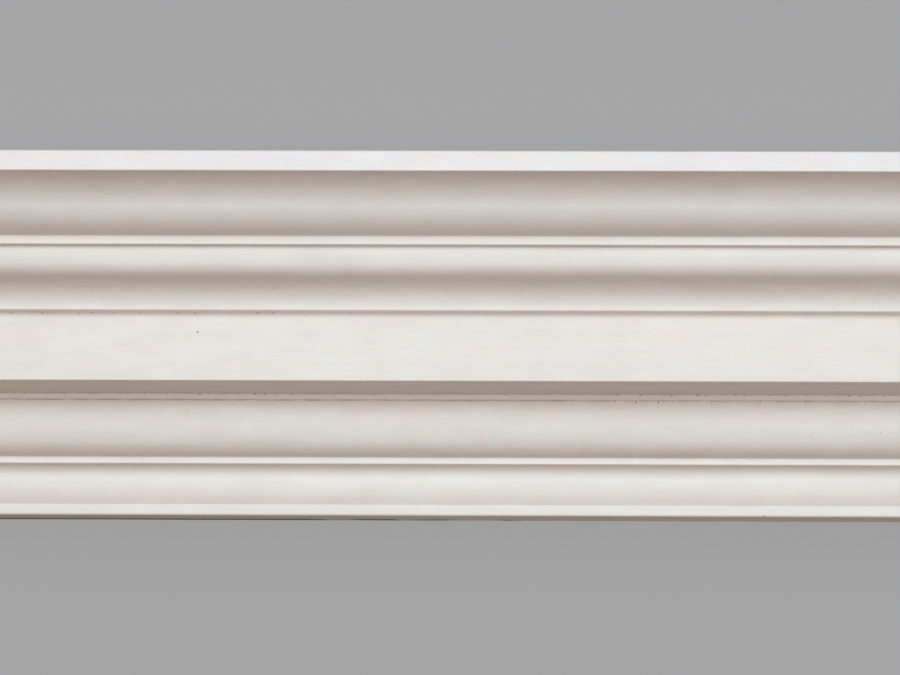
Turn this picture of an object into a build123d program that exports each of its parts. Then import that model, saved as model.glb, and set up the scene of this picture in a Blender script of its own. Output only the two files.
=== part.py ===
from build123d import *
import os
from math import atan2, cos, degrees, radians, sin

# A plaster cornice, cast in one piece, for the corner between a wall and a ceiling.
# Sizes are in millimetres. "Out" is measured away from the wall, "drop" down from the ceiling.
LENGTH = 1500.0

# Members of the face, from the ceiling down to the wall
TOP_FILLET_DROP = 12.7
CYMA_OUT, CYMA_DROP = 44.7, 28.7
CYMA_FILLET_DROP = 5.5
CYMA_STEP_OUT = 4.3
REVERSA_OUT, REVERSA_DROP = 31.0, 32.4
REVERSA_STEP_OUT = 6.3
CORONA_DROP = 42.7
CORONA_SOFFIT_OUT = 35.5
BED_FILLET_DROP = 4.1
OVOLO_QUIRK_OUT = 0.8
OVOLO_OUT, OVOLO_DROP = 17.9, 32.3
OVOLO_FILLET_DROP = 4.3
OVOLO_STEP_OUT = 4.2
TOE_OUT, TOE_DROP = 9.4, 22.9
TOE_FILLET_DROP = 6.9
UNDERSIDE_OUT = 16.0

# Each curved member is a run of tangent arcs. Its first arc starts by facing this far down from
# level, in degrees, and the arcs meet at these shares of the member's projection and drop.
CYMA_START, CYMA_JOINTS = 87.0, [(0.544, 0.529)]
REVERSA_START, REVERSA_JOINTS = 0.0, [(0.064, 0.304), (0.309, 0.503), (0.522, 0.530)]
OVOLO_START, OVOLO_JOINTS = -13.0, [(0.272, 0.767)]
TOE_START, TOE_JOINTS = 64.0, [(0.477, 0.340)]

# Bearing strips on the wall and the ceiling, with a flat splayed back between them
WALL_BEARING = 40.0
CEILING_BEARING = 40.0

# Paint-softened radius of the outer edges. The lowest one is rounder
ARRIS_RADIUS = 0.6
TOE_ARRIS_RADIUS = 1.5

OUTS = (CYMA_OUT, CYMA_STEP_OUT, REVERSA_OUT, REVERSA_STEP_OUT, CORONA_SOFFIT_OUT,
        -OVOLO_QUIRK_OUT, OVOLO_OUT, OVOLO_STEP_OUT, TOE_OUT, UNDERSIDE_OUT)
DROPS = (TOP_FILLET_DROP, CYMA_DROP, CYMA_FILLET_DROP, REVERSA_DROP, CORONA_DROP,
         BED_FILLET_DROP, OVOLO_DROP, OVOLO_FILLET_DROP, TOE_DROP, TOE_FILLET_DROP)
PROJECTION = sum(OUTS)
DROP = sum(DROPS)


def flat(start, out, drop):
    """A straight member that goes back by out and down by drop from its start."""
    return Line(start, start + Vector(-out, -drop))


def curved(start, out, drop, facing_down, joints):
    """A curved member of tangent arcs, from its start to out and drop further on."""
    tangent = Vector(-sin(radians(facing_down)), -cos(radians(facing_down)))
    arcs = []
    here = start
    for out_share, drop_share in (*joints, (1, 1)):
        arc = TangentArc(here, start + Vector(-out * out_share, -drop * drop_share), tangent=tangent)
        arcs.append(arc)
        here = arc @ 1
        tangent = arc % 1
    return arcs


# Face of the section, drawn as it is fixed: the wall is x = 0 and the ceiling is y = 0
top_fillet = flat(Vector(PROJECTION, 0), 0, TOP_FILLET_DROP)
cyma = curved(top_fillet @ 1, CYMA_OUT, CYMA_DROP, CYMA_START, CYMA_JOINTS)
cyma_fillet = flat(cyma[-1] @ 1, 0, CYMA_FILLET_DROP)
cyma_step = flat(cyma_fillet @ 1, CYMA_STEP_OUT, 0)
reversa = curved(cyma_step @ 1, REVERSA_OUT, REVERSA_DROP, REVERSA_START, REVERSA_JOINTS)
reversa_step = flat(reversa[-1] @ 1, REVERSA_STEP_OUT, 0)
corona = flat(reversa_step @ 1, 0, CORONA_DROP)
corona_soffit = flat(corona @ 1, CORONA_SOFFIT_OUT, 0)
bed_fillet = flat(corona_soffit @ 1, 0, BED_FILLET_DROP)
ovolo_quirk = flat(bed_fillet @ 1, -OVOLO_QUIRK_OUT, 0)
ovolo = curved(ovolo_quirk @ 1, OVOLO_OUT, OVOLO_DROP, OVOLO_START, OVOLO_JOINTS)
ovolo_fillet = flat(ovolo[-1] @ 1, 0, OVOLO_FILLET_DROP)
ovolo_step = flat(ovolo_fillet @ 1, OVOLO_STEP_OUT, 0)
toe = curved(ovolo_step @ 1, TOE_OUT, TOE_DROP, TOE_START, TOE_JOINTS)
toe_fillet = flat(toe[-1] @ 1, 0, TOE_FILLET_DROP)
underside = flat(toe_fillet @ 1, UNDERSIDE_OUT, 0)
face = [top_fillet, *cyma, cyma_fillet, cyma_step, *reversa, reversa_step, corona, corona_soffit,
        bed_fillet, ovolo_quirk, *ovolo, ovolo_fillet, ovolo_step, *toe, toe_fillet, underside]

# Back of the section: up the wall, along the splay, and out along the ceiling
wall_heel = Vector(0, WALL_BEARING - DROP)
ceiling_heel = Vector(PROJECTION - CEILING_BEARING, 0)
back = [Line(underside @ 1, wall_heel), Line(wall_heel, ceiling_heel), Line(ceiling_heel, top_fillet @ 0)]

section = make_face(face + back)
arrises = [top_fillet @ 0, top_fillet @ 1, cyma_fillet @ 1, reversa[-1] @ 1, corona @ 1, ovolo_fillet @ 1]
outer_corners = [section.vertices().sort_by_distance(point)[0] for point in arrises]
section = fillet(outer_corners, ARRIS_RADIUS)
toe_corner = section.vertices().sort_by_distance(toe_fillet @ 1)[0]
section = fillet(toe_corner, TOE_ARRIS_RADIUS)

# The piece lies on its splayed back, face up, with its length along X and the ceiling side at +Y
lean = atan2(ceiling_heel.X, -wall_heel.Y)
lying = Plane(origin=(0, 0, 0), x_dir=(0, sin(lean), cos(lean)), z_dir=(-1, 0, 0))
cornice = extrude(lying * section, LENGTH / 2, both=True)
box = cornice.bounding_box()
cornice = Pos(0, -box.center().Y, -box.min.Z) * cornice

os.makedirs("parts", exist_ok=True)
export_step(cornice, "parts/cornice.step")
print(f"projection {PROJECTION:.1f}, drop {DROP:.1f}, lean {degrees(lean):.2f} degrees")
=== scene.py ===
import bpy
from math import atan2, ceil, cos, radians, sin, sqrt, tan
from mathutils import Matrix, Vector


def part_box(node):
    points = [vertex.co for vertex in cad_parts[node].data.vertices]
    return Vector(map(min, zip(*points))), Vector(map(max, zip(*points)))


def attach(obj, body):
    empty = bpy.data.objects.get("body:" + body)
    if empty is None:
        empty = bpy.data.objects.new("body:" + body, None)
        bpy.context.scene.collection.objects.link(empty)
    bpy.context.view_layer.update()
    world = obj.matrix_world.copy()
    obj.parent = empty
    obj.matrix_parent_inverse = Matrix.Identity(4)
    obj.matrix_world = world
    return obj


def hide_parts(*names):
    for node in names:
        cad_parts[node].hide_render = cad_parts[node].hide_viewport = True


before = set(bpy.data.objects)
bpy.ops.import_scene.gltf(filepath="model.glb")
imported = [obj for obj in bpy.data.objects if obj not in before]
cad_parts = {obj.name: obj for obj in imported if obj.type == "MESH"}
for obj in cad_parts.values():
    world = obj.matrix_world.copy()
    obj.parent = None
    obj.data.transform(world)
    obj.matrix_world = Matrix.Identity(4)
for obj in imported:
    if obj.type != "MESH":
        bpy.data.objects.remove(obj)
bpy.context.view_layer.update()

# The cornice. Gypsum plaster, cast in one piece from a run mould, so that every member of its
# section goes straight from end to end. The face is brushed with off-white paint. The splayed back,
# the strips that bear on the wall and the ceiling, and the sawn ends are bare plaster.
MM = 0.001
LENGTH = 1500.0 * MM
ARRIS_RADIUS = 0.6 * MM
TOE_ARRIS_RADIUS = 1.5 * MM
CREASE_RADIUS = 0.7 * MM
CURVE_SPACING = 2.0 * MM
FLAT_SPACING = 8.0 * MM
EDGE_LADDER = (0.3 * MM, 0.8 * MM, 1.6 * MM, 4.2 * MM, 5.5 * MM)
RUNG_ROOM = 2.5
STATION_SPACING = 10.0 * MM
SAME_POINT = 0.02 * MM
LEAST_TURN = radians(8)
BEND_STEP = radians(25)
MOST_OF_A_MEMBER = 0.35

# Members from the ceiling down to the wall, then up the back: name, how far each goes in towards
# the wall and down from the ceiling, and for a curve the angle that it faces down at its start
# and the shares of its in and down at which its tangent arcs meet
MEMBERS = [
    ("top_fillet", 0.0, 12.7, None, ()),
    ("cyma", 44.7, 28.7, 87.0, ((0.544, 0.529),)),
    ("cyma_fillet", 0.0, 5.5, None, ()),
    ("cyma_step", 4.3, 0.0, None, ()),
    ("reversa", 31.0, 32.4, 0.0, ((0.064, 0.304), (0.309, 0.503), (0.522, 0.530))),
    ("reversa_step", 6.3, 0.0, None, ()),
    ("corona", 0.0, 42.7, None, ()),
    ("corona_soffit", 35.5, 0.0, None, ()),
    ("bed_fillet", 0.0, 4.1, None, ()),
    ("ovolo_quirk", -0.8, 0.0, None, ()),
    ("ovolo", 17.9, 32.3, -13.0, ((0.272, 0.767),)),
    ("ovolo_fillet", 0.0, 4.3, None, ()),
    ("ovolo_step", 4.2, 0.0, None, ()),
    ("toe", 9.4, 22.9, 64.0, ((0.477, 0.340),)),
    ("toe_fillet", 0.0, 6.9, None, ()),
    ("underside", 16.0, 0.0, None, ()),
]
BEARING = 40.0
PROJECTION = sum(member[1] for member in MEMBERS)
DROP = sum(member[2] for member in MEMBERS)
MEMBERS += [
    ("wall_strip", 0.0, -BEARING, None, ()),
    ("splay", BEARING - PROJECTION, BEARING - DROP, None, ()),
    ("ceiling_strip", -BEARING, 0.0, None, ()),
]
RAW_MEMBERS = ("wall_strip", "splay", "ceiling_strip")
LEAN = atan2(PROJECTION - BEARING, DROP - BEARING)

# Creases that have kept grime and are painted darker for the shade that falls in them, by the member that
# ends there: how strong it is, and how far it reaches over that member and over the next one. Some have
# a dark line as well as a wide haze, and the hazes under the corona are painted shade
GRIMY_SHADED_CREASES = [
    ("corona_soffit", 0.22, 18.0 * MM, 0.3 * MM),
    ("corona_soffit", 0.45, 5.5 * MM, 0.4 * MM),
    ("bed_fillet", 0.90, 1.3 * MM, 0.9 * MM),
    ("ovolo_quirk", 0.13, 0.8 * MM, 20.0 * MM),
    ("ovolo_quirk", 0.85, 0.8 * MM, 1.55 * MM),
]
DUST_REACH = 4.0 * MM
# The black line along the wall on the underside: painted shadow of the gap there, with dirt
WALL_SHADE_AND_DIRT_REACH = 6.1 * MM
WALL_SHADE_AND_DIRT_EDGE = 4

# Members whose paint is a little cleaner, pinker or duller than the rest, as a share to add
# On the soffits of the steps and the corona, and on the bed fillet in its shade, the tone is painted
# light; the underside is made darker
MEMBER_TONES_AND_SHADE = {
    "top_fillet": (0.035, 0.035, 0.085),
    "cyma": (-0.005, 0.013, 0.028),
    "cyma_fillet": (-0.010, -0.010, -0.010),
    "reversa": (0.0, 0.004, 0.012),
    "reversa_step": (0.05, 0.04, 0.05),
    "corona": (-0.015, -0.034, -0.034),
    "corona_soffit": (0.045, 0.045, 0.015),
    "bed_fillet": (0.03, 0.047, 0.08),
    "ovolo": (0.0, 0.008, 0.016),
    "ovolo_step": (0.08, 0.095, 0.12),
    "toe": (-0.02, -0.02, -0.02),
    "toe_fillet": (-0.045, -0.047, -0.05),
    "underside": (-0.11, -0.105, -0.14),
}


def heading_of(step):
    """The angle of a direction in the plane of the section."""
    return atan2(step.y, step.x)


def towards(heading):
    """The unit direction at an angle in the plane of the section."""
    return Vector((cos(heading), sin(heading)))


def place_on(stretch, distance):
    """The point at a distance along a straight or round stretch of the section."""
    start, heading, turn, length = stretch
    half = 0.5 * turn * distance / length
    chord = distance * (sin(half) / half if half else 1.0)
    return start + chord * towards(heading + half)


def stretch_to(start, heading, end):
    """The round stretch that leaves start on a heading and goes to end."""
    chord = end - start
    half = (heading_of(chord) - heading + radians(180)) % radians(360) - radians(180)
    length = chord.length * (half / sin(half) if abs(half) > 1e-6 else 1.0)
    return start, heading, 2 * half, length


# Stretches of the section, drawn as the cornice is fixed: the wall is x = 0, the ceiling is y = 0
stretches = []
here = Vector((PROJECTION, 0.0)) * MM
for name, inward, down, facing_down, joints in MEMBERS:
    whole = Vector((-inward, -down)) * MM
    heading = heading_of(whole) if facing_down is None else radians(-90 - facing_down)
    start = here
    for in_share, down_share in (*joints, (1, 1)):
        end = start + Vector((whole.x * in_share, whole.y * down_share))
        stretch = stretch_to(here, heading, end)
        stretches.append((name, stretch))
        heading += stretch[2]
        here = end

# Corners where the outline turns: outer arrises are softened by paint, and inner creases filled by it
corners = []
for i, (name, stretch) in enumerate(stretches):
    following = stretches[(i + 1) % len(stretches)][1]
    leaving = stretch[1] + stretch[2]
    turn = (following[1] - leaving + radians(180)) % radians(360) - radians(180)
    radius = ARRIS_RADIUS if turn > 0 else CREASE_RADIUS
    if name == "toe_fillet":
        radius = TOE_ARRIS_RADIUS
    room = MOST_OF_A_MEMBER * min(stretch[3], following[3])
    reach = min(radius * tan(abs(turn) / 2), room)
    corners.append((turn, reach) if abs(turn) > LEAST_TURN else (0.0, 0.0))

# Points of the outline: closer together near the corners and on the curves
outline = []
for i, (name, stretch) in enumerate(stretches):
    length = stretch[3]
    first = corners[i - 1][1]
    last = length - corners[i][1]
    stops = {first, last}
    for rung in EDGE_LADDER:
        if last - first > RUNG_ROOM * rung:
            stops |= {first + rung, last - rung}
    ordered = sorted(stops)
    spacing = CURVE_SPACING if stretch[2] else FLAT_SPACING
    for low, high in zip(ordered, ordered[1:]):
        parts = ceil((high - low) / spacing)
        stops |= {low + (high - low) * part / parts for part in range(1, parts)}
    for stop in sorted(stops):
        point = place_on(stretch, stop)
        if not (outline and (point - outline[-1][0]).length < SAME_POINT):
            outline.append((point, name))
    turn, reach = corners[i]
    if turn:
        bend_length = reach / tan(abs(turn) / 2) * abs(turn)
        bend = (outline[-1][0], stretch[1] + stretch[2], turn, bend_length)
        steps = max(2, round(abs(turn) / BEND_STEP))
        for step in range(1, steps):
            outline.append((place_on(bend, bend_length * step / steps), name))
if (outline[-1][0] - outline[0][0]).length < SAME_POINT:
    outline.pop()

crease_points = []
for (name, stretch), (turn, reach) in zip(stretches, corners):
    if turn < 0:
        crease_points.append(place_on(stretch, stretch[3]))


def dust_at(point):
    """How dusty a point of the section is: 1 in a crease, and none further than its reach."""
    nearest_crease = min((point - crease).length for crease in crease_points)
    return max(0.0, 1.0 - nearest_crease / DUST_REACH)


def grime_and_shade_at(point, member):
    """How much painted grime and shade a point of the section has, by the shaded creases that its member
    ends or starts in.
    """
    worst = 0.0
    for (name, stretch), (following, next_stretch) in zip(stretches, stretches[1:]):
        for grimy_shaded_member, strength, before, after in GRIMY_SHADED_CREASES:
            if grimy_shaded_member == name and following != name and member in (name, following):
                distance = (point - next_stretch[0]).length
                left = 1.0 - distance / (before if member == name else after)
                worst = max(worst, strength * max(0.0, left) ** 2)
    return worst


def wall_shade_and_dirt_at(point, member):
    """How black the painted shadow of the gap at the wall, with dirt, makes a point of the underside: 1
    at the wall, and none further than its reach.
    """
    if member != "underside":
        return 0.0
    return max(0.0, 1.0 - (point.x / WALL_SHADE_AND_DIRT_REACH) ** WALL_SHADE_AND_DIRT_EDGE)


def lie(point):
    """Turns a point of the section from where it is fixed to where it lies, as (Y, Z)."""
    across = point.x * sin(LEAN) + point.y * cos(LEAN)
    up = point.x * cos(LEAN) - point.y * sin(LEAN)
    return Vector((across, up))


lying = [lie(point) for point, name in outline]
low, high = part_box("cornice")
middle = 0.5 * (min(p.x for p in lying) + max(p.x for p in lying))
rest = Vector((0.5 * (low.y + high.y) - middle, low.z - min(p.y for p in lying)))

# Section as a closed loop of edges. The sweep below turns it half round, so it is laid half turned
section_mesh = bpy.data.meshes.new("cornice_section")
loop = [(-(p + rest).x, -(p + rest).y, 0.0) for p in lying]
section_mesh.from_pydata(loop, [(i, (i + 1) % len(loop)) for i in range(len(loop))], [])


def mark_points(mesh, name, values):
    """Stores one number for each point of a mesh."""
    mesh.attributes.new(name, "FLOAT", "POINT").data.foreach_set("value", values)


mark_points(section_mesh, "dust", [dust_at(point) for point, name in outline])
mark_points(section_mesh, "grime_and_shade", [grime_and_shade_at(point, name) for point, name in outline])
mark_points(section_mesh, "bare", [float(name in RAW_MEMBERS) for point, name in outline])
mark_points(section_mesh, "stained", [float(name == "underside") for point, name in outline])
mark_points(section_mesh, "wall_shade_and_dirt", [wall_shade_and_dirt_at(point, name) for point, name in outline])
tones_and_shades = [channel for point, name in outline for channel in MEMBER_TONES_AND_SHADE.get(name, (0.0, 0.0, 0.0))]
section_mesh.attributes.new("tone_and_shade", "FLOAT_VECTOR", "POINT").data.foreach_set("vector", tones_and_shades)
cornice = bpy.data.objects.new("run_cornice", section_mesh)
bpy.context.scene.collection.objects.link(cornice)

# Marks of age and of the making. Each has a member, a share of its height, a place along the length
# in millimetres, its width, height and depth in millimetres, and how much grime and painted shade darken
# it
NIBS = [
    ("cyma", 0.395, -205.1, 1.7, 1.5, 0.60, 0.0),
    ("cyma", 0.372, -201.8, 1.1, 1.0, 0.40, 0.0),
    ("cyma", 0.445, -207.9, 1.0, 0.9, 0.35, 0.0),
    ("cyma", 0.552, -10.8, 1.5, 1.3, 0.4, 0.0),
    ("ovolo", 0.178, -163.6, 2.2, 1.8, 0.5, 0.06),
    ("ovolo", 0.145, -216.4, 1.3, 1.2, 0.35, 0.08),
    ("ovolo", 0.500, 220.6, 1.2, 4.0, 0.5, 0.0),
    ("ovolo", 0.560, 222.2, 1.0, 2.4, 0.4, 0.0),
]
PITS = [
    ("corona", 0.290, -155.6, 1.5, 1.3, 0.6, 0.75),
    ("ovolo", 0.475, 263.6, 0.9, 0.8, 0.4, 0.5),
    ("toe", 0.840, -142.0, 1.6, 0.5, 0.2, 0.4),
    ("reversa", 0.130, 51.5, 0.7, 0.6, 0.3, 0.4),
    ("toe_fillet", 0.970, 193.0, 1.4, 1.2, 0.4, 0.6),
]
CHIPS = [("corona", 1.0, 275.2, 6.4, 1.5, 0.6, 0.0)]

# A row of short ticks in the hollow of the reversa, at three heights in turn
TICK_PLACES = (
    -240.0, -229.5, -219.6, -214.2, -210.6, -202.2,
    -194.0, -181.0, -134.6, -127.8, -118.1, -109.0,
)
TICK_SHARE = 0.70
TICK_STAGGER = 0.012
TICK_SIZE = (1.6, 3.0, 0.20)
TICK_GRIME_AND_SHADE = 0.08
for i, place in enumerate(TICK_PLACES):
    PITS.append(("reversa", TICK_SHARE + TICK_STAGGER * (i % 3), place, *TICK_SIZE, TICK_GRIME_AND_SHADE))

# Runs of a crease where air bubbles burst in the cast, by the member that starts there: from and to
# along the length in millimetres, how many, how wide and tall against round ones, and their grime and
# painted shade
BUBBLE_RUNS = [
    ("corona", -745, -260, 16, 1.8, 0.8, 0.35),
    ("corona", -260, -105, 13, 1.7, 0.8, 0.40),
    ("corona", -105, 745, 16, 1.9, 0.7, 0.25),
    ("bed_fillet", -745, -180, 22, 2.0, 0.8, 0.40),
    ("bed_fillet", -180, -95, 10, 2.1, 0.9, 0.50),
    ("bed_fillet", -95, 94, 10, 2.3, 0.7, 0.30),
    ("bed_fillet", 94, 272, 15, 2.3, 0.9, 0.50),
    ("bed_fillet", 272, 745, 28, 2.0, 0.8, 0.45),
    ("ovolo", -745, 90, 22, 0.9, 1.2, 0.35),
    ("ovolo", 90, 272, 14, 1.0, 1.8, 0.52),
    ("ovolo", 272, 745, 24, 0.9, 1.4, 0.45),
]
BUBBLE_DROP = 0.5


def spot_on(member, share):
    """The place on a member of the lying section, and the direction that it faces there, as (Y, Z)."""
    runs = [stretch for name, stretch in stretches if name == member]
    left = share * sum(run[3] for run in runs)
    for run in runs:
        if left <= run[3] or run is runs[-1]:
            break
        left -= run[3]
    travel = towards(run[1] + run[2] * min(left / run[3], 1.0))
    return lie(place_on(run, left)) + rest, lie(Vector((-travel.y, travel.x)))


# Points for the marks: where each is, its half width, depth and half height, the way that it faces,
# the grime and painted shade that darken it and how many there are. A run of bubbles has its half length
# in place of the half width, and then how wide and tall its bubbles are
MARK_KINDS = ("nib", "pit", "chip", "bubbles")
mark_rows = []
for kind, some in (("nib", NIBS), ("pit", PITS), ("chip", CHIPS)):
    for member, share, along, wide, tall, deep, held in some:
        spot, facing = spot_on(member, share)
        place = (along * MM, spot.x, spot.y)
        mark_size = (wide * MM / 2, deep * MM, tall * MM / 2)
        mark_rows.append((kind, place, mark_size, heading_of(facing), held, 1))
for member, first, last, number, wide, tall, held in BUBBLE_RUNS:
    height = sum(stretch[3] for name, stretch in stretches if name == member)
    spot, facing = spot_on(member, BUBBLE_DROP * MM / height)
    place = ((first + last) / 2 * MM, spot.x, spot.y)
    mark_size = ((last - first) / 2 * MM, wide, tall)
    mark_rows.append(("bubbles", place, mark_size, heading_of(facing), held, number))
kinds, places, mark_sizes, turns, soils_and_shades, numbers = (list(column) for column in zip(*mark_rows))
mark_mesh = bpy.data.meshes.new("cornice_marks")
mark_mesh.from_pydata(places, [], [])
mark_points(mark_mesh, "turn", turns)
mark_points(mark_mesh, "soil", soils_and_shades)
edges = [edge for mark_size in mark_sizes for edge in mark_size]
mark_mesh.attributes.new("size", "FLOAT_VECTOR", "POINT").data.foreach_set("vector", edges)
mark_mesh.attributes.new("number", "INT", "POINT").data.foreach_set("value", numbers)
kind_numbers = [MARK_KINDS.index(kind) for kind in kinds]
mark_mesh.attributes.new("kind", "INT", "POINT").data.foreach_set("value", kind_numbers)
marks = bpy.data.objects.new("cornice_marks", mark_mesh)

paint = bpy.data.materials.new("brushed_off_white_paint")


def add(tree, kind, sockets=None, **settings):
    """Adds a node to a tree, with its settings, and links or sets the sockets given."""
    made = tree.nodes.new(kind)
    for name, value in settings.items():
        setattr(made, name, value)
    for name, value in (sockets or {}).items():
        if isinstance(value, bpy.types.NodeSocket):
            tree.links.new(value, made.inputs[name])
        else:
            made.inputs[name].default_value = value
    return made


# Geometry Nodes: the section is swept along the length, like plaster behind a running mould,
# and its face is left slightly wavy, as a hand-run mould leaves it
run = bpy.data.node_groups.new("run_moulding", "GeometryNodeTree")
run.interface.new_socket("Geometry", in_out="INPUT", socket_type="NodeSocketGeometry")
RUN_SIZES = {
    "Length": ("NodeSocketFloat", LENGTH),
    "Stations": ("NodeSocketInt", round(LENGTH / STATION_SPACING) + 1),
    "Wave depth": ("NodeSocketFloat", 0.2 * MM),
    "Waves per metre": ("NodeSocketFloat", 24.0),
    "Bubble radius": ("NodeSocketFloat", 0.6 * MM),
    "Seed": ("NodeSocketInt", 7),
    "Marks": ("NodeSocketObject", marks),
}
run_sockets = {}
for name, (kind, value) in RUN_SIZES.items():
    run_sockets[name] = run.interface.new_socket(name, in_out="INPUT", socket_type=kind)
run.interface.new_socket("Geometry", in_out="OUTPUT", socket_type="NodeSocketGeometry")
given = add(run, "NodeGroupInput").outputs

half = add(run, "ShaderNodeMath", {0: given["Length"], 1: 0.5}, operation="MULTIPLY")
right = add(run, "ShaderNodeCombineXYZ", {"X": half.outputs[0]})
left = add(run, "ShaderNodeVectorMath", {0: right.outputs[0], "Scale": -1.0}, operation="SCALE")
rail = add(run, "GeometryNodeCurvePrimitiveLine", {"Start": left.outputs[0], "End": right.outputs[0]})
stations = add(run, "GeometryNodeResampleCurve", {"Curve": rail.outputs[0], "Count": given["Stations"]})
profile = add(run, "GeometryNodeMeshToCurve", {"Mesh": given["Geometry"]})
swept = add(run, "GeometryNodeCurveToMesh", {"Curve": stations.outputs[0], "Fill Caps": True,
                                             "Profile Curve": profile.outputs[0]})

WAVE_STRETCH = (0.4, 1.0, 1.0)
spot = add(run, "GeometryNodeInputPosition")
stretched = add(run, "ShaderNodeVectorMath", {0: spot.outputs[0], 1: WAVE_STRETCH}, operation="MULTIPLY")
waves = add(run, "ShaderNodeTexNoise", {"Vector": stretched.outputs[0], "Scale": given["Waves per metre"],
                                        "Detail": 2.0, "Roughness": 0.4})
bare = add(run, "GeometryNodeInputNamedAttribute", {"Name": "bare"}, data_type="FLOAT")
faced = add(run, "ShaderNodeMath", {0: 1.0, 1: bare.outputs[0]}, operation="SUBTRACT")
depth = add(run, "ShaderNodeMath", {0: waves.outputs["Fac"], 1: given["Wave depth"]},
            operation="MULTIPLY")
inward = add(run, "ShaderNodeMath", {0: depth.outputs[0], 1: faced.outputs[0]}, operation="MULTIPLY")
back = add(run, "ShaderNodeMath", {0: inward.outputs[0], 1: -1.0}, operation="MULTIPLY")
normal = add(run, "GeometryNodeInputNormal")
across = add(run, "ShaderNodeVectorMath", {0: normal.outputs[0], 1: (0.0, 1.0, 1.0)},
             operation="MULTIPLY")
offset = add(run, "ShaderNodeVectorMath", {0: across.outputs[0], "Scale": back.outputs[0]},
             operation="SCALE")
wavy = add(run, "GeometryNodeSetPosition", {"Geometry": swept.outputs[0], "Offset": offset.outputs[0]})

# The run is cut into triangles, so that a mark cuts only flat faces
plain_run = add(run, "GeometryNodeTriangulate", {"Mesh": wavy.outputs[0]})

# Marks, sorted by kind
marked = add(run, "GeometryNodeObjectInfo", {"Object": given["Marks"]}).outputs["Geometry"]
kind = add(run, "GeometryNodeInputNamedAttribute", {"Name": "kind"}, data_type="INT")
size = add(run, "GeometryNodeInputNamedAttribute", {"Name": "size"}, data_type="FLOAT_VECTOR")
soil = add(run, "GeometryNodeInputNamedAttribute", {"Name": "soil"}, data_type="FLOAT")
turn = add(run, "GeometryNodeInputNamedAttribute", {"Name": "turn"}, data_type="FLOAT")
number = add(run, "GeometryNodeInputNamedAttribute", {"Name": "number"}, data_type="INT")
sorted_marks = {}
for order, name in enumerate(MARK_KINDS):
    chosen = add(run, "FunctionNodeCompare", {2: kind.outputs[0], 3: order}, data_type="INT",
                 operation="EQUAL")
    parted = add(run, "GeometryNodeSeparateGeometry", {"Geometry": marked,
                                                       "Selection": chosen.outputs[0]}, domain="POINT")
    sorted_marks[name] = parted.outputs["Selection"]

# Air bubbles: each run is parted evenly, and one bubble is set loosely in each part, clear of the others
LOOSENESS = (0.15, 0.85)
BUBBLE_JITTER = 0.4 * MM
SMALLEST_SHARE = 0.45
LEAST_SHAPE, MOST_SHAPE = (0.6, 0.7, 0.7), (1.2, 1.1, 1.3)
copies = add(run, "GeometryNodeDuplicateElements", {"Geometry": sorted_marks["bubbles"],
                                                    "Amount": number.outputs[0]}, domain="POINT")
run_shape = add(run, "ShaderNodeSeparateXYZ", {0: size.outputs[0]})
loose = add(run, "FunctionNodeRandomValue", {2: LOOSENESS[0], 3: LOOSENESS[1], "Seed": given["Seed"]},
            data_type="FLOAT")
step = add(run, "ShaderNodeMath", {0: copies.outputs["Duplicate Index"], 1: loose.outputs[1]},
           operation="ADD")
part = add(run, "ShaderNodeMath", {0: step.outputs[0], 1: number.outputs[0]}, operation="DIVIDE")
centred = add(run, "ShaderNodeMath", {0: part.outputs[0], 1: 2.0, 2: -1.0}, operation="MULTIPLY_ADD")
sideways = add(run, "ShaderNodeMath", {0: centred.outputs[0], 1: run_shape.outputs["X"]},
               operation="MULTIPLY")
far = add(run, "ShaderNodeCombineXYZ", {"X": sideways.outputs[0]})
jitter = add(run, "FunctionNodeRandomValue", {0: (0.0, -BUBBLE_JITTER, -BUBBLE_JITTER),
                                              1: (0.0, BUBBLE_JITTER, BUBBLE_JITTER),
                                              "Seed": given["Seed"]}, data_type="FLOAT_VECTOR")
strewn = add(run, "ShaderNodeVectorMath", {0: far.outputs[0], 1: jitter.outputs[0]}, operation="ADD")
bursts = add(run, "GeometryNodeSetPosition", {"Geometry": copies.outputs[0], "Offset": strewn.outputs[0]})
smallest = add(run, "ShaderNodeMath", {0: given["Bubble radius"], 1: SMALLEST_SHARE},
               operation="MULTIPLY")
radius = add(run, "FunctionNodeRandomValue", {2: smallest.outputs[0], 3: given["Bubble radius"],
                                              "Seed": given["Seed"]}, data_type="FLOAT")
longer = add(run, "FunctionNodeRandomValue", {0: LEAST_SHAPE, 1: MOST_SHAPE, "Seed": given["Seed"]},
             data_type="FLOAT_VECTOR")
rounded = add(run, "ShaderNodeVectorMath", {0: longer.outputs[0], "Scale": radius.outputs[1]},
              operation="SCALE")
drawn = add(run, "ShaderNodeCombineXYZ", {"X": run_shape.outputs["Y"], "Y": 1.0,
                                          "Z": run_shape.outputs["Z"]})
bubble_size = add(run, "ShaderNodeVectorMath", {0: rounded.outputs[0], 1: drawn.outputs[0]},
                  operation="MULTIPLY")

# A bubble, a pit and a nib are each the end of a ball, with its centre in front of the face or behind it.
# The ball is turned askew, so that none of its edges lies in the face
ASKEW = (0.31, 0.52, 0.17)
NIB_CENTRE, PIT_CENTRE, BUBBLE_CENTRE = -0.8, 3.0, 0.3
ball = add(run, "GeometryNodeMeshIcoSphere", {"Radius": 1.0, "Subdivisions": 2})
ball = add(run, "GeometryNodeTransform", {"Geometry": ball.outputs["Mesh"], "Rotation": ASKEW})


def ball_end(centre):
    """A ball drawn out about a centre off the face, so that its end is 1 deep and 1 in radius there."""
    depth = 1.0 + abs(centre)
    radius = depth / sqrt(depth ** 2 - centre ** 2)
    shaped = add(run, "GeometryNodeTransform", {"Geometry": ball.outputs[0],
                                                "Translation": (0.0, centre, 0.0),
                                                "Scale": (radius, depth, radius)})
    return shaped.outputs[0]


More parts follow.
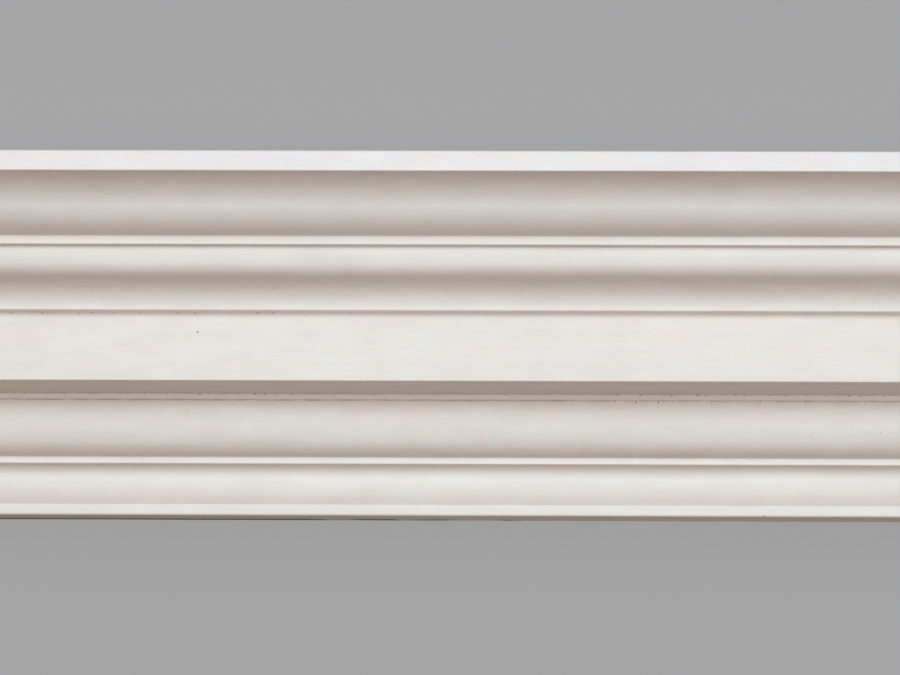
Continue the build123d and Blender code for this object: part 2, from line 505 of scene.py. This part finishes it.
# A rough lump for the chips
LUMPINESS = 1.6
boulder = add(run, "GeometryNodeMeshIcoSphere", {"Radius": 1.0, "Subdivisions": 3})
lump_noise = add(run, "ShaderNodeTexNoise", {"Vector": spot.outputs[0], "Scale": LUMPINESS,
                                             "Detail": 2.0})
lump_shift = add(run, "ShaderNodeVectorMath", {0: lump_noise.outputs["Color"], 1: (0.5, 0.5, 0.5)},
                 operation="SUBTRACT")
lump = add(run, "GeometryNodeSetPosition", {"Geometry": boulder.outputs["Mesh"],
                                            "Offset": lump_shift.outputs[0]})
nearest = add(run, "GeometryNodeProximity", {0: plain_run.outputs[0]}, target_element="FACES")
facing = add(run, "ShaderNodeCombineXYZ", {"X": turn.outputs[0]})


def shapes_at(points, shape, scale):
    """Puts a shape on the face at each point, turned with the face, with the point's grime and painted
    shade on it.
    """
    settled = add(run, "GeometryNodeSetPosition", {"Geometry": points,
                                                   "Position": nearest.outputs["Position"]})
    placed = add(run, "GeometryNodeInstanceOnPoints", {"Points": settled.outputs[0], "Instance": shape,
                                                       "Rotation": facing.outputs[0], "Scale": scale})
    plain = add(run, "GeometryNodeRealizeInstances", {"Geometry": placed.outputs[0]})
    # The darkness that a mark holds: grime, and painted shade in a hollow
    held_soil_and_shade = {"Geometry": plain.outputs[0], "Name": "pit", "Value": soil.outputs[0]}
    soiled = add(run, "GeometryNodeStoreNamedAttribute", held_soil_and_shade, data_type="FLOAT", domain="FACE")
    return soiled.outputs[0]


nibs = shapes_at(sorted_marks["nib"], ball_end(NIB_CENTRE), size.outputs[0])
pits = shapes_at(sorted_marks["pit"], ball_end(PIT_CENTRE), size.outputs[0])
bubbles = shapes_at(bursts.outputs[0], ball_end(BUBBLE_CENTRE), bubble_size.outputs[0])
chips = shapes_at(sorted_marks["chip"], lump.outputs[0], size.outputs[0])
broken = add(run, "GeometryNodeStoreNamedAttribute", {"Geometry": chips, "Name": "broken", "Value": 1.0},
             data_type="FLOAT", domain="FACE")
nibbed = add(run, "GeometryNodeMeshBoolean", {"Mesh 2": plain_run.outputs[0]}, operation="UNION",
             solver="MANIFOLD")
run.links.new(nibs, nibbed.inputs["Mesh 2"])
pitted = nibbed
for hollow in (pits, bubbles, broken.outputs[0]):
    pitted = add(run, "GeometryNodeMeshBoolean", {"Mesh 1": pitted.outputs["Mesh"], "Mesh 2": hollow},
                 operation="DIFFERENCE", solver="MANIFOLD")

# Crumbs that a chip has cut loose, and bubbles that never broke the face, are left out
CRUMB_FACES = 2000.0
island = add(run, "GeometryNodeInputMeshIsland")
faces = add(run, "GeometryNodeAccumulateField", {"Value": 1.0,
                                                 "Group ID": island.outputs["Island Index"]},
            data_type="FLOAT", domain="FACE")
crumb = add(run, "FunctionNodeCompare", {0: faces.outputs["Total"], 1: CRUMB_FACES},
            operation="LESS_THAN")
clean = add(run, "GeometryNodeDeleteGeometry", {"Geometry": pitted.outputs["Mesh"],
                                                "Selection": crumb.outputs[0]}, domain="FACE")

# Smooth shading, except over a sharp fold
SHARP_FOLD = radians(40)
smooth = add(run, "GeometryNodeSetShadeSmooth", {"Geometry": clean.outputs[0], "Shade Smooth": True})
fold = add(run, "GeometryNodeInputMeshEdgeAngle")
sharp = add(run, "FunctionNodeCompare", {0: fold.outputs[0], 1: SHARP_FOLD}, operation="GREATER_THAN")
edged = add(run, "GeometryNodeSetShadeSmooth", {"Geometry": smooth.outputs[0], "Shade Smooth": False,
                                                "Selection": sharp.outputs[0]}, domain="EDGE")
whole = add(run, "GeometryNodeRealizeInstances", {"Geometry": edged.outputs[0]})
painted = add(run, "GeometryNodeSetMaterial", {"Geometry": whole.outputs[0], "Material": paint})
add(run, "NodeGroupOutput", {0: painted.outputs[0]})

# The finished mesh takes the place of the section. Its first slot, which is empty, and the marks' own
# values go
running = cornice.modifiers.new("run_moulding", "NODES")
running.node_group = run
for name, (kind, value) in RUN_SIZES.items():
    running[run_sockets[name].identifier] = value
run_mesh = bpy.data.meshes.new_from_object(cornice.evaluated_get(bpy.context.evaluated_depsgraph_get()))
cornice.modifiers.remove(running)
cornice.data = run_mesh
run_mesh.materials.pop(index=0)
for name in ("id", "kind", "number", "size", "soil", "turn"):
    if name in run_mesh.attributes:
        run_mesh.attributes.remove(run_mesh.attributes[name])
bpy.data.objects.remove(marks)

# Paint: off-white, brushed along the length, a little cloudy, with grime and painted shade in the creases
COOL_PAINT = (0.808, 0.831, 0.817, 1.0)
PINK_PAINT = (0.842, 0.781, 0.767, 1.0)
AGED_PAINT = (0.800, 0.765, 0.745, 1.0)
BLUER = (0.997, 0.997, 1.034, 1.0)
YELLOWER = (1.003, 1.003, 0.966, 1.0)
DAMP_STAIN = (0.89, 0.86, 0.76, 1.0)
GRIME_AND_SHADE = (0.21, 0.165, 0.13, 1.0)
WALL_SHADE_AND_DIRT = (0.085, 0.075, 0.07, 1.0)
DUST = (0.60, 0.54, 0.485, 1.0)
BARE_PLASTER = (0.715, 0.67, 0.62, 1.0)
BARE_SHADE = (0.575, 0.53, 0.48, 1.0)
paint.use_nodes = True
coat = paint.node_tree
surface = coat.nodes["Principled BSDF"]
where = add(coat, "ShaderNodeTexCoord").outputs["Object"]


def patches(stretch, shift, scale, detail, roughness):
    """Noise over the piece, drawn out along its length by a stretch, as a mask from 0 to 1."""
    laid = add(coat, "ShaderNodeMapping", {"Vector": where, "Location": shift,
                                           "Scale": (1 / stretch, 1.0, 1.0)})
    noise = add(coat, "ShaderNodeTexNoise", {"Vector": laid.outputs[0], "Scale": scale, "Detail": detail,
                                             "Roughness": roughness})
    return noise.outputs["Fac"]


def spread(value, low, high, start=0.0, end=1.0):
    """Maps a value from low and high to start and end, held at both ends."""
    return add(coat, "ShaderNodeMapRange", {"Value": value, "From Min": low, "From Max": high,
                                            "To Min": start, "To Max": end}).outputs["Result"]


def times(first, second):
    """The product of two masks."""
    return add(coat, "ShaderNodeMath", {0: first, 1: second}, operation="MULTIPLY").outputs[0]


def larger(first, second):
    """The larger of two masks."""
    return add(coat, "ShaderNodeMath", {0: first, 1: second}, operation="MAXIMUM").outputs[0]


def lightened(colour, value):
    """A colour made lighter or darker by a value about 1."""
    return add(coat, "ShaderNodeHueSaturation", {"Color": colour, "Value": value}).outputs[0]


def blend(mask, first, second, kind="MIX"):
    """Mixes two colours by a mask."""
    mixed = add(coat, "ShaderNodeMix", {"Factor": mask, 6: first, 7: second}, data_type="RGBA",
                blend_type=kind)
    return mixed.outputs[2]


def stored(name, output="Fac"):
    """A value that the mesh carries."""
    return add(coat, "ShaderNodeAttribute", attribute_name=name).outputs[output]


# Tints and clouds over the whole piece, an aged part at one end, and the tone of each member, which holds
# painted light on the shaded soffits
AGED_FROM, AGED_TO, AGED_MOST = -0.05, -0.29, 0.7
CLOUD_LIGHT = (0.948, 1.052)
BRUSH_LIGHT = (0.987, 1.013)
tint = patches(stretch=3.0, shift=(0.3, 0.1, 0.2), scale=76.0, detail=6.0, roughness=0.8)
yellowing = patches(stretch=2.5, shift=(0.7, 0.4, 0.1), scale=110.0, detail=5.0, roughness=0.78)
clouds = patches(stretch=2.5, shift=(0.0, 0.0, 0.0), scale=64.0, detail=6.0, roughness=0.76)
brush = patches(stretch=26.0, shift=(0.0, 0.5, 0.0), scale=330.0, detail=3.0, roughness=0.6)
colour = blend(spread(tint, 0.3, 0.7), COOL_PAINT, PINK_PAINT)
yellowed = blend(spread(yellowing, 0.3, 0.7), BLUER, YELLOWER)
colour = blend(1.0, colour, yellowed, "MULTIPLY")
along = add(coat, "ShaderNodeSeparateXYZ", {"Vector": where}).outputs["X"]
colour = blend(spread(along, AGED_FROM, AGED_TO, 0.0, AGED_MOST), colour, AGED_PAINT)
toned = add(coat, "ShaderNodeVectorMath", {0: stored("tone_and_shade", "Vector"), 1: (1.0, 1.0, 1.0)},
            operation="ADD")
colour = blend(1.0, colour, toned.outputs[0], "MULTIPLY")
colour = lightened(colour, spread(clouds, 0.25, 0.75, *CLOUD_LIGHT))
colour = lightened(colour, spread(brush, 0.3, 0.7, *BRUSH_LIGHT))

# Dust in the creases, and grime with painted shade; damp; and a black line along the wall, painted shadow
# of the gap there with dirt, which breaks into dashes
DUST_MOST = 0.05
GRIME_AND_SHADE_LEAST = 0.45
STAIN_FROM, STAIN_TO = 0.20, -0.20
LINE_WHOLE, LINE_GONE = -0.16, 0.09
LINE_GAIN, LINE_LOSS = 0.30, -0.20
colour = blend(times(stored("dust"), spread(clouds, 0.3, 0.7, 0.0, DUST_MOST)), colour, DUST)
patchy = patches(stretch=3.0, shift=(0.0, 0.0, 0.0), scale=210.0, detail=3.0, roughness=0.65)
patchy = spread(patchy, 0.35, 0.65, GRIME_AND_SHADE_LEAST, 1.0)
# Painted shade and grime: darker in the creases under the steps and the corona, with a haze over the
# soffit and the ovolo
colour = blend(times(stored("grime_and_shade"), patchy), colour, GRIME_AND_SHADE)
damp = times(stored("stained"), spread(along, STAIN_FROM, STAIN_TO))
colour = blend(damp, colour, DAMP_STAIN, "MULTIPLY")
dashes = patches(stretch=4.0, shift=(0.5, 0.2, 0.0), scale=150.0, detail=2.0, roughness=0.5)
kept = spread(along, LINE_WHOLE, LINE_GONE, LINE_GAIN, LINE_LOSS)
dashes = add(coat, "ShaderNodeMath", {0: dashes, 1: kept}, operation="ADD").outputs[0]
# Painted shadow of the gap at the wall, with dirt in it, as a black line
colour = blend(times(stored("wall_shade_and_dirt"), spread(dashes, 0.46, 0.58)), colour, WALL_SHADE_AND_DIRT)
# Painted shade and grime: pits, bubbles and ticks are darkened inside
colour = blend(stored("pit"), colour, GRIME_AND_SHADE)

# Bare plaster on the back, on the bearing strips, at the sawn ends and in the chip
SAW_FADE, SAW_EDGE = 0.4 * MM, 0.2 * MM
PAINT_ROUGHNESS, PLASTER_ROUGHNESS = 0.58, 0.92
from_middle = add(coat, "ShaderNodeMath", {0: along}, operation="ABSOLUTE").outputs[0]
sawn = spread(from_middle, LENGTH / 2 - SAW_FADE, LENGTH / 2 - SAW_EDGE)
uncovered = larger(larger(stored("bare"), sawn), stored("broken"))
grains = patches(stretch=1.0, shift=(0.2, 0.0, 0.4), scale=55.0, detail=6.0, roughness=0.66)
plaster = blend(spread(grains, 0.35, 0.75), BARE_PLASTER, BARE_SHADE)
colour = blend(uncovered, colour, plaster)
coat.links.new(colour, surface.inputs["Base Color"])
roughness = spread(uncovered, 0.0, 1.0, PAINT_ROUGHNESS, PLASTER_ROUGHNESS)
coat.links.new(roughness, surface.inputs["Roughness"])

# Relief: brush marks along the length and a fine peel in the paint, and the open grain of the plaster
RELIEF_DEPTH = 0.012 * MM
BRUSH_RELIEF, PEEL_RELIEF, GRAIN_RELIEF = 0.6, 0.5, 12.0
peel = patches(stretch=1.0, shift=(0.1, 0.2, 0.3), scale=420.0, detail=2.0, roughness=0.5)
paint_relief = add(coat, "ShaderNodeMath", {0: brush, 1: BRUSH_RELIEF, 2: times(peel, PEEL_RELIEF)},
                   operation="MULTIPLY_ADD")
open_grain = patches(stretch=1.0, shift=(0.0, 0.3, 0.0), scale=260.0, detail=6.0, roughness=0.75)
relief = add(coat, "ShaderNodeMix", {"Factor": uncovered, 2: paint_relief.outputs[0],
                                     3: times(open_grain, GRAIN_RELIEF)}, data_type="FLOAT")
bump = add(coat, "ShaderNodeBump", {"Height": relief.outputs[0], "Distance": RELIEF_DEPTH,
                                    "Strength": 1.0})
coat.links.new(bump.outputs["Normal"], surface.inputs["Normal"])

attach(cornice, "root")
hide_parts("cornice")

# The floor. A plain, pale grey sheet of backing paper that the cornice lies on, far larger than the view.
FLOOR_SIZE = 60.0
FLOOR_COLOUR = (0.55, 0.55, 0.56, 1.0)
BACKGROUND = (0.371, 0.371, 0.381, 1.0)
EVEN_SHARE = 0.88
floor_mesh = bpy.data.meshes.new("floor")
edge = FLOOR_SIZE / 2
floor_corners = [(-edge, -edge, 0), (edge, -edge, 0), (edge, edge, 0), (-edge, edge, 0)]
floor_mesh.from_pydata(floor_corners, [], [(0, 1, 2, 3)])
floor = bpy.data.objects.new("floor", floor_mesh)
bpy.context.scene.collection.objects.link(floor)
floor_paper = bpy.data.materials.new("grey_paper")
floor_paper.use_nodes = True
sheet = floor_paper.node_tree
sheet.nodes.clear()
lit = add(sheet, "ShaderNodeBsdfDiffuse", {"Color": FLOOR_COLOUR})
even = add(sheet, "ShaderNodeEmission", {"Color": BACKGROUND, "Strength": 1.0})


def seen_rays(tree):
    """1 for rays that come from the camera, a reflection or a clear surface, and 0 for the rest."""
    rays = add(tree, "ShaderNodeLightPath").outputs
    nearer = add(tree, "ShaderNodeMath", {0: rays["Is Camera Ray"], 1: rays["Is Glossy Ray"]},
                 operation="MAXIMUM")
    return add(tree, "ShaderNodeMath", {0: nearer.outputs[0], 1: rays["Is Transmission Ray"]},
               operation="MAXIMUM").outputs[0]


evenly = add(sheet, "ShaderNodeMath", {0: seen_rays(sheet), 1: EVEN_SHARE}, operation="MULTIPLY")
floor_look = add(sheet, "ShaderNodeMixShader", {"Fac": evenly.outputs[0], 1: lit.outputs[0],
                                                2: even.outputs[0]})
add(sheet, "ShaderNodeOutputMaterial", {"Surface": floor_look.outputs[0]})
floor_mesh.materials.append(floor_paper)

# The light. A long soft lamp overhead, on the side of the ceiling edge, and a dim warm room behind it.
# Both run the length of the cornice, so the light changes only around the section.
LIGHT = [
    (-124, (0.22, 0.18, 0.10)),
    (-100, (0.16, 0.06, 0.04)),
    (-68, (0.36, 0.33, 0.28)),
    (-36, (0.50, 0.35, 0.29)),
    (-20, (0.74, 0.57, 0.49)),
    (-4, (1.40, 1.35, 1.28)),
    (12, (2.12, 2.37, 2.38)),
    (20, (2.10, 2.46, 2.52)),
    (28, (1.58, 1.91, 1.98)),
    (36, (0.86, 0.89, 0.98)),
    (46, (0.10, 0.10, 0.12)),
]
LAMP_STRENGTH = 2.6
out_axis = Vector((0.0, sin(LEAN), cos(LEAN)))
up_axis = Vector((0.0, cos(LEAN), -sin(LEAN)))
world = bpy.data.worlds.new("studio")
world.use_nodes = True
bpy.context.scene.world = world
sky = world.node_tree
sky.nodes.clear()
direction = add(sky, "ShaderNodeTexCoord").outputs["Generated"]
along_out = add(sky, "ShaderNodeVectorMath", {0: direction, 1: out_axis}, operation="DOT_PRODUCT")
along_up = add(sky, "ShaderNodeVectorMath", {0: direction, 1: up_axis}, operation="DOT_PRODUCT")
angle = add(sky, "ShaderNodeMath", {0: along_up.outputs["Value"], 1: along_out.outputs["Value"]},
            operation="ARCTAN2")
share = add(sky, "ShaderNodeMapRange", {"Value": angle.outputs[0], "From Min": radians(-180),
                                        "From Max": radians(180)})
ramp = add(sky, "ShaderNodeValToRGB", {"Fac": share.outputs[0]})
ramp.color_ramp.interpolation = "CARDINAL"
stops = ramp.color_ramp.elements
while len(stops) < len(LIGHT):
    stops.new(1.0)
for stop, (at_angle, colour) in zip(stops, LIGHT):
    stop.position = (at_angle + 180) / 360
    stop.color = (*(channel / LAMP_STRENGTH for channel in colour), 1.0)
lamp = add(sky, "ShaderNodeBackground", {"Color": ramp.outputs["Color"], "Strength": LAMP_STRENGTH})
plain = add(sky, "ShaderNodeBackground", {"Color": BACKGROUND, "Strength": 1.0})
seen = add(sky, "ShaderNodeMixShader", {"Fac": seen_rays(sky), 1: lamp.outputs[0],
                                        2: plain.outputs[0]})
add(sky, "ShaderNodeOutputWorld", {"Surface": seen.outputs[0]})

# The camera. A long lens, square to the length and a little below the fixed cornice's level.
LENS = 200.4
SENSOR = 36.0
CAMERA_DISTANCE = 3.0
CAMERA_BELOW = radians(13.39)
CAMERA_SWING = radians(1.0)
CAMERA_ROLL = radians(0.15)
AIM_BELOW_TOP = 112.05 * MM
top_arris = lie(Vector((PROJECTION, 0.0)) * MM) + rest
to_camera = cos(CAMERA_BELOW) * out_axis - sin(CAMERA_BELOW) * up_axis
image_up = sin(CAMERA_BELOW) * out_axis + cos(CAMERA_BELOW) * up_axis
aim = Vector((0.0, top_arris.x, top_arris.y)) - AIM_BELOW_TOP * image_up
to_camera = Matrix.Rotation(CAMERA_SWING, 3, image_up) @ to_camera
image_up = Matrix.Rotation(CAMERA_ROLL, 3, to_camera) @ image_up
image_right = image_up.cross(to_camera)
lens = bpy.data.cameras.new("camera")
lens.lens = LENS
lens.sensor_width = SENSOR
camera = bpy.data.objects.new("camera", lens)
bpy.context.scene.collection.objects.link(camera)
turned = Matrix((image_right, image_up, to_camera)).transposed().to_4x4()
camera.matrix_world = Matrix.Translation(aim + CAMERA_DISTANCE * to_camera) @ turned
bpy.context.scene.camera = camera
bpy.context.scene.view_settings.view_transform = "Standard"
